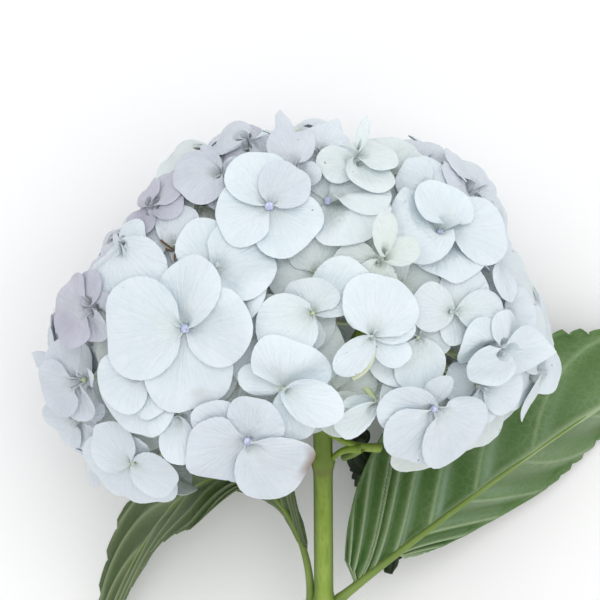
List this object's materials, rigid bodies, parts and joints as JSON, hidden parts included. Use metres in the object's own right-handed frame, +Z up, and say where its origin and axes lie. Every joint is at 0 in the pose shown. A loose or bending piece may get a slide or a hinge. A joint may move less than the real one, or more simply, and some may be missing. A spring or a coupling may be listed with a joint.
{
  "type": "cut hydrangea flower",
  "caption": "Cut white mophead hydrangea lying on its side: a ball of four-sepalled florets on branched stalks, a bare green stem and toothed leaves.",
  "frame": {"origin": "on the table, under the middle of the whole flower's bounding box", "axes": "+Z up from the table, +Y along the stem from its cut end towards the bloom, +X to the right of the stem seen from above"},
  "size_m": [0.2322, 0.3415, 0.1526],
  "materials": {
    "sepals": "thin, matt and slightly translucent white petal-like sepals",
    "stem_green": "smooth, slightly glossy green bark of a fresh shoot",
    "ray_green": "pale green, matt",
    "leaf_green": "veined leaf, satin above and duller beneath"
  },
  "bodies": {
    "root": {"stem": "stem_green", "ray_1": "ray_green", "ray_2": "ray_green", "ray_3": "ray_green", "ray_4": "ray_green", "ray_5": "ray_green", "ray_6": "ray_green", "ray_7": "ray_green", "floret_01": "sepals", "floret_02": "sepals", "floret_03": "sepals", "floret_04": "sepals", "floret_05": "sepals", "floret_06": "sepals", "floret_07": "sepals", "floret_08": "sepals", "floret_09": "sepals", "floret_10": "sepals", "floret_11": "sepals", "floret_12": "sepals", "floret_13": "sepals", "floret_14": "sepals", "floret_15": "sepals", "floret_16": "sepals", "floret_17": "sepals", "floret_18": "sepals", "floret_19": "sepals", "floret_20": "sepals", "floret_21": "sepals", "floret_22": "sepals", "floret_23": "sepals", "floret_24": "sepals", "floret_25": "sepals", "floret_26": "sepals", "floret_27": "sepals", "floret_28": "sepals", "floret_29": "sepals", "floret_30": "sepals", "floret_31": "sepals", "floret_32": "sepals", "floret_33": "sepals", "floret_34": "sepals", "floret_35": "sepals", "floret_36": "sepals", "floret_37": "sepals", "floret_38": "sepals", "floret_39": "sepals", "floret_40": "sepals", "floret_41": "sepals", "floret_42": "sepals", "floret_43": "sepals", "floret_44": "sepals", "floret_45": "sepals", "floret_46": "sepals", "leaf_right": "leaf_green", "leaf_left": "leaf_green", "leaf_back": "leaf_green", "side_shoot": "stem_green"}
  },
  "joints": []
}
